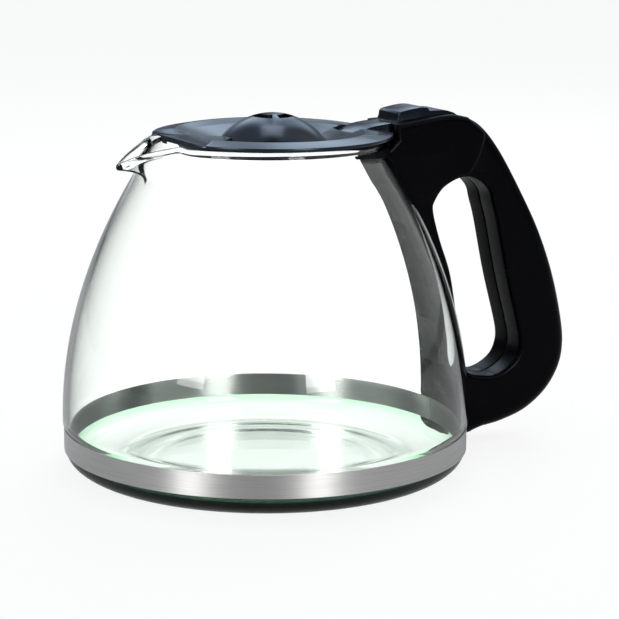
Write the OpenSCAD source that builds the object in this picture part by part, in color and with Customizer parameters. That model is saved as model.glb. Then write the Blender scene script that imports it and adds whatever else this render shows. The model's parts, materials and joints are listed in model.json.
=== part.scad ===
// Coffee server: a glass jug with a steel base band, a two-part handle and a hinged lid with a vented dome.
// The origin is the centre of the jug's flat bottom. +Z is up, the handle points along +X, the spout along -X.

/* [Glass jug] */
// Outer radius of the jug at its widest
belly_r = 80.45; // [76:0.05:88]
// Height of the widest place
belly_z = 21.5; // [20.5:0.1:24]
// Outer radius just under the rim bead
neck_r = 44.5; // [42:0.1:48]
// Height where the rim bead starts
neck_z = 129.5; // [122:0.1:140]
// Thickness of the glass
glass_t = 2.5; // [2:0.1:3]
// Thickness of the bottom
bottom_t = 3.2; // [2.8:0.1:4]
// Radius of the flat bottom
bottom_r = 62; // [56:0.5:66]
// Depth of the groove that the band lies in
groove_d = 1.1; // [0.8:0.05:1.3]
// Radius of the bead's round section
bead_r = 1.4; // [1.1:0.05:1.7]
// How far the spout's lip reaches out past the rim
spout_reach = 17.9; // [14:0.1:21]
// How far the spout's tip drops below the rim
spout_drop = 6.35; // [4:0.05:8]

/* [Base band] */
// Height of the band's lower edge above the bottom
band_z = 9.5; // [8.5:0.1:10.5]
// Width of the band
band_w = 9; // [8:0.1:9.2]
// Thickness of the strip
band_t = 0.6; // [0.5:0.05:0.8]
// Length of the band's ears inside the handle's foot
ear_len = 22; // [19:0.5:24]

/* [Lid] */
// How far the lid's centre lies towards the hinge
lid_shift = 2.65; // [2:0.05:3]
// How far the lid's edge reaches past the neck
lid_overhang = 2.5; // [1.8:0.05:2.8]
// Thickness of the lid's outer edge
lid_edge_t = 1.3; // [1.2:0.05:1.8]
// Distance from the lid's edge in to its crest
crest_in = 8; // [7:0.1:8.5]
// Height of the crest above the top of the edge
crest_rise = 1.45; // [1.1:0.05:1.7]
// Depth of the round channel below the crest
channel_d = 4.85; // [4.4:0.05:5.2]
// Wall thickness of the lid
lid_t = 2; // [1.8:0.05:2.2]
// Radius of the opening under the dome
brew_hole_r = 17; // [15:0.1:17.5]
// Half angle of the pouring tongue, in degrees
tongue_angle = 31; // [28:0.5:34]
// Distance from the lid's centre to the pouring notch
notch_in = 39.65; // [38.5:0.05:41]
// Half width of the pouring notch
notch_half_w = 20.5; // [18:0.1:21.5]

/* [Dome] */
// Radius of the dome's sphere
dome_sphere_r = 26; // [25:0.1:28]
// Height of the dome above the channel's floor
dome_rise = 11.3; // [10.5:0.05:12.2]
// Wall thickness of the dome
dome_t = 1.6; // [1.2:0.05:2]
// Inner radius of the three vent slots
vent_in_r = 4.2; // [3.5:0.1:5]
// Outer radius of the three vent slots
vent_out_r = 8; // [7:0.1:9]
// Angle that each vent slot spans
vent_angle = 100; // [80:1:106]

/* [Thumb lever] */
// Half width of the lever
lever_half_w = 7.8; // [7:0.1:8.2]
// Length of the thumb tab's top
tab_len = 14; // [12:0.1:15]
// Height of the thumb tab above the hinge
tab_rise = 10.3; // [9:0.1:10.5]
// Radius of the hinge barrel
barrel_r = 4.2; // [3.8:0.1:4.6]
// Radius of the hinge pin
pin_r = 1.75; // [1.5:0.05:2]

/* [Handle] */
// Reach of the grip past the jug's widest radius
grip_reach = 57.05; // [52:0.05:62]
// Height of the handle's crown above the hinge
crown_over = 7.5; // [7:0.1:8]
// Half thickness of the grip
grip_half_w = 10.6; // [10.2:0.1:11.4]
// Half thickness of the block beside the neck
block_half_w = 12; // [11.6:0.1:13]
// Distance from the neck's radius out to the hinge
hinge_out = 21.5; // [21:0.1:23]
// Wall thickness of the hollow grip
grip_wall = 2.8; // [2.2:0.1:3.2]

/* [Fasteners] */
// Shank radius of the self-tapping screws
tap_r = 1.5; // [1.3:0.05:1.6]
// Shank radius of the band's machine screw
band_screw_r = 2; // [1.8:0.05:2.1]
// Depth of the screw heads' seat from the middle plane
seat_y = 6; // [5.5:0.1:6.4]

/* [Clearances] */
// Gap between the lid's underside and the rim bead
lid_gap = 0.3; // [0.2:0.05:0.5]
// Gap between fixed pieces that seat in one another
fit_gap = 0.15; // [0.1:0.01:0.2]
// Gap between the handle's strap and the glass, which the cushions fill
strap_gap = 1.3; // [1.1:0.05:1.6]
// Radial running clearance of the lever on its pin
pin_gap = 0.05; // [0.02:0.01:0.1]
// Gap between the lever and the cheeks of the handle
cheek_gap = 0.7; // [0.5:0.05:0.9]

/* [Hidden] */
$fn = 96;
// One overrun for every cut that passes through a face
over = 1;
// Heights that follow from the jug
bead_z = neck_z + bead_r;
rim_z = bead_z + bead_r;
bead_proud = 1.5;
bead_centre_r = neck_r + bead_proud - bead_r;
groove_r = belly_r - groove_d;
corner_h = band_z;
ramp_h = 1.5;
// Lid places
lid_r = neck_r + lid_overhang;
crest_r = lid_r - crest_in;
lid_under_z = rim_z + lid_gap;
edge_z = lid_under_z + lid_edge_t;
crest_z = edge_z + crest_rise;
channel_z = crest_z - channel_d;
tongue_z = lid_under_z + 0.52 * lid_edge_t;
skirt_gap = 1.2;
mouth_r = neck_r - glass_t - 0.12 * glass_t;
skirt_r = mouth_r - skirt_gap;
skirt_t = 1.6;
skirt_h = 2 * bead_r;
// Dome places
dome_centre_z = channel_z + dome_rise - dome_sphere_r;
dome_base_r = sqrt(pow(dome_sphere_r, 2) - pow(channel_z - dome_centre_z, 2));
// Hinge places
pivot_x = neck_r + hinge_out;
pivot_z = bead_z;
crown_z = pivot_z + crown_over;
slot_half_w = lever_half_w + cheek_gap;
tail_r = 0.875 * hinge_out;
swing_gap = 0.6;
swing_r = tail_r + swing_gap;
open_angle = 70;

// Outer radius of the glass at height z, a parabola from the belly to the neck
function glass_r(z) = belly_r - (belly_r - neck_r) * pow((z - belly_z) / (neck_z - belly_z), 2);

// How fast that radius changes with height
function glass_slope(z) = -2 * (belly_r - neck_r) * (z - belly_z) / pow(neck_z - belly_z, 2);

function unit(v) = v / norm(v);
function mix(a, b, t) = a + (b - a) * t;

// Point of a cubic curve with end points a and d and handles b and c
function bezier(a, b, c, d, t) =
    a * pow(1 - t, 3) + b * 3 * t * pow(1 - t, 2) + c * 3 * t * t * (1 - t) + d * pow(t, 3);

// Point of a smooth curve between b and c, with neighbours a and d
function smooth(a, b, c, d, t) =
    (b * 2 + (c - a) * t + (a * 2 - b * 5 + c * 4 - d) * t * t + (b * 3 - a - c * 3 + d) * t * t * t) / 2;

function open_curve(p, steps) = concat(
    [for (i = [0:len(p) - 2], k = [0:steps - 1])
        smooth(p[max(i - 1, 0)], p[i], p[i + 1], p[min(i + 2, len(p) - 1)], k / steps)],
    [p[len(p) - 1]]);

function closed_curve(p, steps) = [for (i = [0:len(p) - 1], k = [0:steps - 1])
    smooth(p[(i + len(p) - 1) % len(p)], p[i], p[(i + 1) % len(p)], p[(i + 2) % len(p)], k / steps)];

// An outline that runs anticlockwise, moved inwards by d
function inset(p, d) = [for (i = [0:len(p) - 1])
    let (u = unit(p[i] - p[(i + len(p) - 1) % len(p)]),
         v = unit(p[(i + 1) % len(p)] - p[i]),
         m = unit([-u[1] - v[1], u[0] + v[0]]))
    p[i] + m * d / max(m * [-u[1], u[0]], 0.6)];

// The outline p at height h, as a ring of points in space
function level(p, h) = [for (q = p) [q[0], q[1], h]];

// The section p, given as radius and height, turned to an azimuth
function turned(p, azimuth) = [for (q = p) [q[0] * cos(azimuth), q[0] * sin(azimuth), q[1]]];

// A closed solid through rings of equally many points. Joined rings form a loop and need no ends.
module loft(rings, joined = false) {
    n = len(rings[0]);
    m = len(rings);
    last = joined ? m - 1 : m - 2;
    sides = [for (i = [0:last], j = [0:n - 1])
        let (a = i * n + j, b = i * n + (j + 1) % n, c = ((i + 1) % m) * n + (j + 1) % n, d = ((i + 1) % m) * n + j)
        each [[a, d, c], [a, c, b]]];
    ends = joined ? [] : [[for (j = [0:n - 1]) j], [for (j = [0:n - 1]) m * n - 1 - j]];
    polyhedron(points = [for (r = rings) each r], faces = concat(sides, ends));
}

// A side view in x and z, given thickness along Y from y0 to y1
module side_plate(y0, y1) {
    translate([0, y1, 0]) rotate([90, 0, 0]) linear_extrude(y1 - y0) children();
}

// A round bar along Y
module cross_bar(x, z, r, y0, y1) {
    translate([x, y1, z]) rotate([90, 0, 0]) cylinder(r = r, h = y1 - y0);
}

// Everything inside the jug's outer wall and a gap round it, from height z0 to z1
module wall_space(gap, z0, z1) {
    steps = 24;
    rotate_extrude() polygon(concat(
        [[0, z0]],
        [for (i = [0:steps]) let (z = mix(z0, z1, i / steps)) [glass_r(max(z, belly_z)) + gap, z]],
        [[0, z1]]));
}

// Glass jug: the body is a turned wall, the rim and the spout are one loft
join_z = neck_z - 13.5 / 108 * (neck_z - belly_z);
// Angle and sharpness shares of the lip's shape
lip_spread = 10.4;
lip_drop_spread = 6.6;
lip_power = 1.13;
shoulder_angle = 18;
shoulder_spread = 5;
shoulder_in = 0.6;
shoulder_up = 0.77;

function lip_out(a) = spout_reach * exp(-pow(abs(a) / lip_spread, lip_power))
    - shoulder_in * exp(-pow((abs(a) - shoulder_angle) / shoulder_spread, 2));
function lip_up(a) = shoulder_up * exp(-pow((abs(a) - shoulder_angle) / shoulder_spread, 2))
    - spout_drop * exp(-pow(abs(a) / lip_drop_spread, lip_power));
function wall_across(z) = glass_t * sqrt(1 + pow(glass_slope(z), 2));

// Section of the rim at the angle a from the spout, as radius and height
function rim_section(a) =
    let (w = pow(max(lip_out(a), 0) / spout_reach, 0.7),
         centre = [bead_centre_r + lip_out(a), bead_z + lip_up(a)],
         third = (neck_z - join_z) / 3,
         foot_out = [glass_r(join_z), join_z],
         foot_in = [glass_r(join_z) - wall_across(join_z), join_z],
         rise = [glass_slope(join_z) * third, third],
         drop = mix([-glass_slope(neck_z) * third, -third], [-1.6 * third, -0.2 * third], w),
         lip_under = centre - [0, bead_r],
         lip_inner = centre + mix([-2.07 * bead_r, -1.36 * bead_r], [-1.6 * bead_r, 0.2 * bead_r], w),
         join_over = 0.3,
         slim_out = 0.06 * glass_t,
         slim_in = 0.14 * glass_t)
    concat(
        [[foot_in[0] + slim_in, join_z - join_over], [foot_out[0] - slim_out, join_z - join_over]],
        [for (i = [0:9]) bezier(foot_out - [slim_out, 0], foot_out + rise, lip_under + drop, lip_under, i / 10)],
        [for (i = [0:6]) centre + bead_r * [cos(-90 + 38 * i), sin(-90 + 38 * i)]],
        [for (i = [8:-1:0]) bezier(foot_in + [slim_in, 0], foot_in + rise, lip_inner + drop, lip_inner, i / 8)]);

// Azimuths of the rim's sections, close together at the spout
spout_half = 24;
rim_azimuths = concat(
    [for (i = [-16:15]) i * spout_half / 16],
    [for (i = [0:77]) spout_half + i * (360 - 2 * spout_half) / 78]);

module glass_jug() {
    steps = 40;
    wall_z = band_z + band_w;
    in_corner = [groove_r - glass_t - bottom_r, corner_h - bottom_t];
    color([0.82, 0.92, 0.88, 0.35]) {
        rotate_extrude() polygon(concat(
            [[0, 0]],
            [for (i = [0:10]) let (t = 9 * i)
                [bottom_r + (groove_r - bottom_r) * sin(t), corner_h * (1 - cos(t))]],
            [[groove_r, wall_z]],
            [for (i = [0:steps]) let (z = mix(wall_z + ramp_h, join_z, i / steps)) [glass_r(z), z]],
            [for (i = [steps:-1:0]) let (z = mix(wall_z + ramp_h, join_z, i / steps)) [glass_r(z) - wall_across(z), z]],
            [for (i = [10:-1:0]) let (t = 9 * i)
                [bottom_r + in_corner[0] * sin(t), bottom_t + in_corner[1] * (1 - cos(t))]],
            [[0, bottom_t]]));
        loft([for (a = rim_azimuths) turned(rim_section(a > 180 ? a - 360 : a), 180 - a)], true);
    }
}

// Base band: a strip round the groove, its ends turned out as two ears
band_in_r = groove_r + 0.05;
ear_split = 0.2;
foot_screw = [belly_r + 0.27 * grip_reach, band_z + band_w / 2];
washer_r = 2.1 * band_screw_r;
washer_t = 0.8;

module base_band() {
    ear_angle = asin((ear_split + band_t) / (band_in_r + band_t / 2));
    color([0.72, 0.72, 0.72]) difference() {
        union() {
            translate([0, 0, band_z]) rotate([0, 0, ear_angle]) rotate_extrude(angle = 360 - 2 * ear_angle)
                translate([band_in_r, 0]) square([band_t, band_w]);
            for (side = [-1, 1])
                translate([band_in_r, side * (ear_split + band_t / 2) - band_t / 2, band_z])
                    cube([ear_len, band_t, band_w]);
        }
        cross_bar(foot_screw[0], foot_screw[1], band_screw_r + fit_gap, -over, over);
    }
}

// Band screw with its washer and square nut, across the handle's foot
band_nut_w = 3.5 * band_screw_r;
band_nut_t = 1.6 * band_screw_r;
nut_y = -0.83 * seat_y;
head_h = 2.2;
drive_w = 0.8;
drive_d = 1.1;

// A pan head with a cross recess, its seat at y0 and its top towards +Y
module screw_head(x, z, r, y0) {
    difference() {
        cross_bar(x, z, r, y0, y0 + head_h);
        for (turn = [0, 90])
            translate([x, y0 + head_h - drive_d / 2 + over / 2, z]) rotate([0, turn, 0])
                cube([1.3 * r, drive_d + over, drive_w], center = true);
    }
}

module band_screw() {
    color([0.62, 0.62, 0.64]) {
        screw_head(foot_screw[0], foot_screw[1], 1.75 * band_screw_r, seat_y + washer_t);
        cross_bar(foot_screw[0], foot_screw[1], band_screw_r, nut_y - band_nut_t - drive_w, seat_y + washer_t + 0.2 * head_h);
    }
}

module band_washer() {
    color([0.66, 0.66, 0.68]) difference() {
        cross_bar(foot_screw[0], foot_screw[1], washer_r, seat_y, seat_y + washer_t);
        cross_bar(foot_screw[0], foot_screw[1], band_screw_r + fit_gap, seat_y - over, seat_y + washer_t + over);
    }
}

module band_nut() {
    color([0.6, 0.6, 0.62]) difference() {
        translate([foot_screw[0] - band_nut_w / 2, nut_y - band_nut_t, foot_screw[1] - band_nut_w / 2])
            cube([band_nut_w, band_nut_t, band_nut_w]);
        cross_bar(foot_screw[0], foot_screw[1], band_screw_r + pin_gap, nut_y - band_nut_t - over, nut_y + over);
    }
}

// Handle outlines: x as a share of the grip's reach past the belly, z as a share of the crown's height
back_shares = [[-0.418, 0.984], [-0.218, 0.9935], [-0.043, 0.9986], [0.097, 0.988], [0.246, 0.957],
    [0.406, 0.882], [0.595, 0.757], [0.760, 0.632], [0.884, 0.505], [0.967, 0.379], [1, 0.284],
    [0.967, 0.2065], [0.853, 0.135], [0.670, 0.081], [0.465, 0.0545], [0.320, 0.045], [0.194, 0.031]];
foot_shares = [[0.100, 0.0265], [0.020, 0.0285], [-0.080, 0.045]];
hole_shares = [[0.062, 0.332], [0.023, 0.448], [-0.024, 0.540], [-0.107, 0.632], [-0.165, 0.716],
    [-0.153, 0.751], [-0.082, 0.790], [0.062, 0.813], [0.204, 0.799], [0.297, 0.765], [0.331, 0.722],
    [0.375, 0.661], [0.463, 0.502], [0.556, 0.365], [0.588, 0.307], [0.579, 0.271], [0.539, 0.240],
    [0.460, 0.217], [0.372, 0.205], [0.273, 0.208], [0.150, 0.224], [0.073, 0.274]];

function handle_point(share) = [belly_r + share[0] * grip_reach, share[1] * crown_z];
function handle_points(shares) = [for (s = shares) handle_point(s)];
function reversed(p) = [for (i = [len(p) - 1:-1:0]) p[i]];

// The block's front follows the neck and the collar
front_in = 1.5;
block_front_shares = [[0.07, -0.535], [0.144, -0.177], [0.353, 0], [0.307, 0.298]];
block_front = [for (t = block_front_shares) [neck_r, neck_z] + hinge_out * t];

handle_outline = reversed(concat(
    open_curve(handle_points(back_shares), 3),
    handle_points(foot_shares),
    [[neck_r + 2 * front_in, 0.86 * crown_z]]));
hole_outline = reversed(closed_curve(handle_points(hole_shares), 2));
block_low_z = 0.737 * crown_z;
block_outline = reversed(concat(
    open_curve([for (i = [0:3]) handle_point(back_shares[i])], 3),
    handle_points([[0.230, 0.945], [0.240, 0.917], [0.180, 0.852], [0.060, 0.794], [-0.168, 0.737]]),
    [[glass_r(block_low_z) - over, block_low_z]],
    block_front));

// Rounding of the grip's outer edge, of the block's edge and of the finger hole's edge
grip_round = 5.6;
block_round = 2.4;
hole_round = 2;
edge_steps = 4;

// How far the finger hole has widened at the depth d below the side face
function hole_flare(d) = d < hole_round ? hole_round - sqrt(pow(hole_round, 2) - pow(hole_round - d, 2)) : 0;

// A side outline as a half body of thickness half_w, its outer edge rounded in nested steps
module half_body(outline, half_w, edge_round) {
    for (k = [0:edge_steps]) let (t = 90 * k / edge_steps, depth = edge_round * (1 - sin(t)))
        side_plate(-half_w + depth, 0) difference() {
            polygon(inset(outline, edge_round * (1 - cos(t))));
            polygon(inset(hole_outline, -hole_flare(depth)));
        }
}

// Hollow of the grip, with ribs left across it
rib_count = 6;
rib_t = 1.6;
cavity_low_z = 0.24 * crown_z;
cavity_high_z = 0.80 * crown_z;

module grip_cavity() {
    bay = (cavity_high_z - cavity_low_z) / rib_count;
    side_plate(-grip_half_w + grip_wall, over) intersection() {
        difference() {
            polygon(inset(handle_outline, grip_wall));
            polygon(inset(hole_outline, -grip_wall));
        }
        for (i = [0:rib_count - 1])
            translate([belly_r + 0.36 * grip_reach, cavity_low_z + i * bay]) square([grip_reach, bay - rib_t]);
    }
}

// The block narrows towards the strap below it
module block_taper() {
    taper_h = 9;
    translate([glass_r(block_low_z) - 4 * over, 0, 0]) rotate([90, 0, 90])
        linear_extrude(belly_r - glass_r(block_low_z))
            polygon([[-grip_half_w, block_low_z - over], [-grip_half_w, block_low_z], [-block_half_w, block_low_z + taper_h],
                [-block_half_w - over, block_low_z + taper_h], [-block_half_w - over, block_low_z - over]]);
}

// The space that the lever turns in, and how far below the hinge's axis its front part reaches
slot_down = 2.5 * bead_r;

module lever_slot() {
    side_plate(-slot_half_w, slot_half_w) union() {
        translate([pivot_x, pivot_z]) circle(r = barrel_r + swing_gap);
        translate([pivot_x, pivot_z]) intersection() {
            circle(r = swing_r);
            polygon([[0, 0], 2 * swing_r * [cos(open_angle + 8), -sin(open_angle + 8)],
                [2 * swing_r, 0], [2 * swing_r, 2 * swing_r], [-2 * swing_r, 2 * swing_r], [-2 * swing_r, -slot_down],
                [0, -slot_down]]);
        }
        translate([neck_r - over, pivot_z - slot_down]) square([hinge_out, crown_over + slot_down + over]);
        translate([neck_r - over, pivot_z + tab_rise / 2]) square([hinge_out + swing_r * cos(16) + over, crown_over]);
    }
}

// Collar under the bead with its tang
collar_t = 1.9;
collar_gap = 0.3;
collar_top_z = neck_z - 1.3 * collar_gap;
collar_h = 4.8;
tang_half_w = 1.5;
tang_low_z = neck_z - 2.5 * collar_h;
tang_high_z = neck_z - 0.625 * collar_h;
tang_out = 0.77 * hinge_out;

// Grooves of both halves for what lies between them
module inner_pockets() {
    wall_space(strap_gap, -over, rim_z + lid_gap);
    wall_space(collar_gap + collar_t + fit_gap, collar_top_z - collar_h - fit_gap, rim_z);
    translate([0, 0, rim_z]) cylinder(r = neck_r + bead_proud + strap_gap, h = crown_over);
    lever_slot();
    translate([neck_r, -tang_half_w - fit_gap, tang_low_z - fit_gap])
        cube([tang_out + fit_gap, 2 * (tang_half_w + fit_gap), tang_high_z - tang_low_z + 2 * fit_gap]);
    translate([band_in_r - over, -ear_split - band_t - fit_gap, band_z - fit_gap])
        cube([ear_len + over + fit_gap, 2 * (ear_split + band_t + fit_gap), band_w + 2 * fit_gap]);
    cross_bar(pivot_x, pivot_z, pin_r + 0.02, -block_half_w + 2 * over, block_half_w - 2 * over);
}

// Places of the screws that close the halves: behind the neck, in the crown and low in the grip
clip_screw_out = 0.745 * tang_out;
clip_screw_down = 1.71 * collar_h;
handle_screw_places = [[neck_r + clip_screw_out, neck_z - clip_screw_down], handle_point([0.240, 0.865]), handle_point([0.668, 0.155])];
tap_len = 14;
tap_head_r = 2.15 * tap_r;

module handle_half() {
    difference() {
        union() {
            half_body(handle_outline, grip_half_w, grip_round);
            difference() {
                half_body(block_outline, block_half_w, block_round);
                block_taper();
            }
        }
        grip_cavity();
        inner_pockets();
    }
}

module handle_half_left() {
    color([0.07, 0.07, 0.08]) difference() {
        handle_half();
        for (p = handle_screw_places)
            cross_bar(p[0], p[1], tap_r + pin_gap, seat_y - tap_len - over, over);
        cross_bar(foot_screw[0], foot_screw[1], band_screw_r + fit_gap, nut_y - band_nut_t - over, over);
        translate([foot_screw[0] - band_nut_w / 2 - fit_gap, nut_y - band_nut_t - fit_gap, 0])
            cube([band_nut_w + 2 * fit_gap, band_nut_t + 2 * fit_gap, foot_screw[1] + band_nut_w / 2 + fit_gap]);
    }
}

module handle_half_right() {
    color([0.08, 0.08, 0.09]) difference() {
        mirror([0, 1, 0]) handle_half();
        for (p = handle_screw_places) {
            cross_bar(p[0], p[1], tap_r + 2 * fit_gap, -over, seat_y + over);
            cross_bar(p[0], p[1], tap_head_r + 2 * fit_gap, seat_y, block_half_w + over);
        }
        cross_bar(foot_screw[0], foot_screw[1], band_screw_r + fit_gap, -over, seat_y + over);
        cross_bar(foot_screw[0], foot_screw[1], washer_r + 2 * fit_gap, seat_y, block_half_w + over);
    }
}

module handle_screws() {
    color([0.6, 0.6, 0.62]) for (p = handle_screw_places) {
        screw_head(p[0], p[1], tap_head_r, seat_y);
        cross_bar(p[0], p[1], tap_r, seat_y - tap_len, seat_y + 0.2 * head_h);
    }
}

// Neck clip: the collar's arms taper to a point, and its tang is held between the halves
collar_half_angle = 70;
collar_full_angle = 16;
collar_steps = 28;

module neck_clip() {
    color([0.1, 0.1, 0.11]) difference() {
        union() {
            loft([for (i = [0:collar_steps])
                let (a = collar_half_angle * (1 - 2 * i / collar_steps),
                     taper = max(abs(a) - collar_full_angle, 0) / (collar_half_angle - collar_full_angle),
                     low = collar_top_z - collar_h * (1 - 0.8 * taper),
                     t = collar_t * (1 - 0.5 * taper))
                turned([[glass_r(low) + collar_gap, low], [glass_r(low) + collar_gap + t, low],
                    [glass_r(collar_top_z) + collar_gap + t, collar_top_z],
                    [glass_r(collar_top_z) + collar_gap, collar_top_z]], a)]);
            translate([neck_r, -tang_half_w, tang_low_z])
                cube([tang_out, 2 * tang_half_w, tang_high_z - tang_low_z]);
        }
        wall_space(collar_gap, belly_z, neck_z);
        cross_bar(handle_screw_places[0][0], handle_screw_places[0][1], tap_r + fit_gap, -tang_half_w - over, tang_half_w + over);
    }
}

// A soft pad on the glass between two heights
pad_t = strap_gap - 2 * fit_gap;
pad_angle = 11;

module cushion(z0, z1) {
    steps = 8;
    rotate([0, 0, -pad_angle / 2]) rotate_extrude(angle = pad_angle) polygon(concat(
        [for (i = [0:steps]) let (z = mix(z0, z1, i / steps)) [glass_r(z) + fit_gap, z]],
        [for (i = [steps:-1:0]) let (z = mix(z0, z1, i / steps)) [glass_r(z) + fit_gap + pad_t, z]]));
}

module upper_cushion() { color([0.16, 0.16, 0.17]) cushion(0.68 * crown_z, 0.80 * crown_z); }

module lower_cushion() { color([0.16, 0.16, 0.17]) cushion(0.25 * crown_z, 0.38 * crown_z); }

module hinge_pin() {
    color([0.75, 0.75, 0.77])
        cross_bar(pivot_x, pivot_z, pin_r, -block_half_w + 2 * over + fit_gap, block_half_w - 2 * over - fit_gap);
}

// Lid plate
channel_out_r = crest_r - 0.99 * channel_d;
lever_screw_r = 1.1;
lever_screw_x = lid_shift + channel_out_r - 0.65;
lever_screw_y = 0.5 * lever_half_w;
pocket_gap = 0.3;
// Where the crest starts to sink towards the hinge, and how steeply
sink_x = 24;
sink_angle = 4.5;

// Plan of the pouring tongue, from the dome out past the lid's edge
module tongue_plan() {
    apex_half_w = 2.5;
    apex_in = dome_base_r - 2.2;
    polygon([[-apex_in, -apex_half_w], [-apex_in, apex_half_w],
        (lid_r + over) * [-cos(tongue_angle), sin(tongue_angle)], [-lid_r - over, 0],
        (lid_r + over) * [-cos(tongue_angle), -sin(tongue_angle)]]);
}

// Plan of the pouring notch, with round inner corners
module notch_plan() {
    corner_r = 5;
    difference() {
        union() {
            translate([-2 * lid_r, -notch_half_w]) square([2 * lid_r - notch_in, 2 * notch_half_w]);
            translate([-2 * lid_r, -notch_half_w - corner_r])
                square([2 * lid_r - notch_in - corner_r / 2, 2 * (notch_half_w + corner_r)]);
        }
        for (side = [-1, 1])
            translate([-notch_in - corner_r / 2, side * (notch_half_w + corner_r)]) circle(r = corner_r);
    }
}

module lid_plate() {
    low_z = channel_z - lid_t;
    lip_h = 1;
    round_in = 0.25;
    wall_lean = lid_t / 2 + 1;
    color([0.1, 0.11, 0.13]) difference() {
        union() {
            translate([lid_shift, 0, 0]) rotate_extrude() polygon([
                [brew_hole_r, low_z], [channel_out_r + lid_t, low_z], [crest_r - round_in, lid_under_z],
                [lid_r - round_in, lid_under_z], [lid_r, lid_under_z + round_in], [lid_r, edge_z - round_in],
                [lid_r - round_in, edge_z], [crest_r + 2 * round_in, crest_z - round_in / 4], [crest_r, crest_z],
                [crest_r - wall_lean / 3, crest_z - round_in], [channel_out_r + round_in, channel_z + round_in],
                [channel_out_r - round_in, channel_z], [brew_hole_r, channel_z]]);
            intersection() {
                translate([0, 0, lid_under_z + lip_h / 2 - skirt_h]) difference() {
                    cylinder(r = skirt_r, h = skirt_h);
                    translate([0, 0, -over]) cylinder(r = skirt_r - skirt_t, h = skirt_h + 2 * over);
                }
                translate([-notch_in + lid_shift, -lid_r, 0]) cube([2 * lid_r, 2 * lid_r, crown_z]);
            }
            intersection() {
                translate([lid_shift, 0, tongue_z - lid_t]) linear_extrude(lid_t) tongue_plan();
                cylinder(r = skirt_r, h = crown_z);
            }
        }
        translate([lid_shift, 0, tongue_z]) linear_extrude(crown_over) tongue_plan();
        translate([lid_shift, 0, 0]) intersection() {
            translate([0, 0, dome_centre_z]) sphere(r = dome_sphere_r + pin_gap);
            translate([0, 0, channel_z]) cylinder(r = dome_sphere_r, h = dome_rise + over);
        }
        translate([lid_shift, 0, low_z - skirt_h]) linear_extrude(crown_over + skirt_h) notch_plan();
        translate([sink_x, -lid_r, crest_z]) rotate([0, sink_angle, 0]) cube([lid_r, 2 * lid_r, crown_over]);
        translate([lid_shift + channel_out_r - over, -lever_half_w - pocket_gap, channel_z])
            cube([2 * crest_in + over, 2 * (lever_half_w + pocket_gap), crown_over]);
        for (side = [-1, 1])
            translate([lever_screw_x, side * lever_screw_y, low_z - over])
                cylinder(r = lever_screw_r + fit_gap, h = lid_t + 2 * over);
    }
}

// Lid dome: a thin cap with three vent slots round a small centre
module lid_dome() {
    foot_t = 1;
    color([0.09, 0.1, 0.12]) translate([lid_shift, 0, 0]) difference() {
        intersection() {
            translate([0, 0, dome_centre_z]) sphere(r = dome_sphere_r);
            translate([0, 0, channel_z]) cylinder(r = dome_sphere_r, h = dome_rise + over);
        }
        translate([0, 0, dome_centre_z]) sphere(r = dome_sphere_r - dome_t);
        for (k = [0:2]) rotate([0, 0, 12 + 120 * k + (120 - vent_angle) / 2])
            translate([0, 0, channel_z + foot_t]) rotate_extrude(angle = vent_angle)
                translate([vent_in_r, 0]) square([vent_out_r - vent_in_r, dome_rise]);
    }
}

// Drip guide: a shallow cup with holes, hung in the lid's opening under the dome
module drip_guide() {
    cup_r = brew_hole_r - fit_gap;
    cup_t = 1.4;
    cup_low_z = channel_z - lid_t - 1.5;
    flange_w = 1.6;
    flange_t = 1;
    drip_hole_r = 1.6;
    color([0.12, 0.12, 0.13]) translate([lid_shift, 0, 0]) difference() {
        union() {
            translate([0, 0, cup_low_z]) cylinder(r = cup_r, h = channel_z + flange_t - cup_low_z);
            translate([0, 0, channel_z + 0.05]) cylinder(r = cup_r + flange_w, h = flange_t - 0.05);
        }
        translate([0, 0, cup_low_z + cup_t]) cylinder(r = cup_r - cup_t, h = crown_over + cup_t);
        for (ring = [0, 1], k = [0:ring == 0 ? 5 : 11])
            rotate([0, 0, 360 / (ring == 0 ? 6 : 12) * k])
                translate([(0.4 + 0.38 * ring) * (cup_r - cup_t), 0, cup_low_z - over])
                    cylinder(r = drip_hole_r, h = cup_t + 2 * over);
    }
}

// Thumb lever: arm, tab, tail hump and hinge barrel as one side outline
arm_lap = 2.7;
arm_in_x = lid_shift + channel_out_r - arm_lap;
arm_low_z = channel_z + pin_gap;
arm_step_x = lid_shift + crest_r - 0.67 * arm_lap;
arm_over_z = lid_under_z + pin_gap;
tab_front_x = pivot_x - 0.52 * hinge_out;
// Points above the arm, as shares of its length and of the channel's depth
arm_top_shares = [[0.97, 1.14], [0.83, 1.09], [0.61, 1], [0.395, 0.865], [0.18, 0.59], [0.05, 0.37], [0, 0.28]];
// Points round the tab, as shares of its length and of its rise above the hinge
tab_shares = [[1, 0.951], [0.965, 1], [0.55, 0.97], [0.085, 0.893], [0.015, 0.816], [0, 0.65]];
// Points round the tail from the hinge, as shares of its radius
tail_shares = [[0.55, 0.08], [0.95, 0.21], [0.95, 0.30], [0.78, 0.412], [0.60, 0.465], [0.40, 0.479], [0.18, 0.479]];

module lever_side() {
    polygon(concat(
        [[arm_in_x, arm_low_z], [arm_step_x, arm_low_z], [arm_step_x + arm_over_z - arm_low_z, arm_over_z],
            [pivot_x - barrel_r, arm_over_z], [pivot_x, pivot_z - 0.6 * barrel_r],
            [pivot_x + barrel_r, pivot_z - 0.2 * barrel_r]],
        [for (t = tail_shares) [pivot_x, pivot_z] + tail_r * t],
        [for (t = tab_shares) [tab_front_x + t[0] * tab_len, pivot_z + t[1] * tab_rise]],
        [for (t = arm_top_shares) [mix(arm_in_x, tab_front_x, t[0]), channel_z + t[1] * channel_d]]));
}

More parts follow.
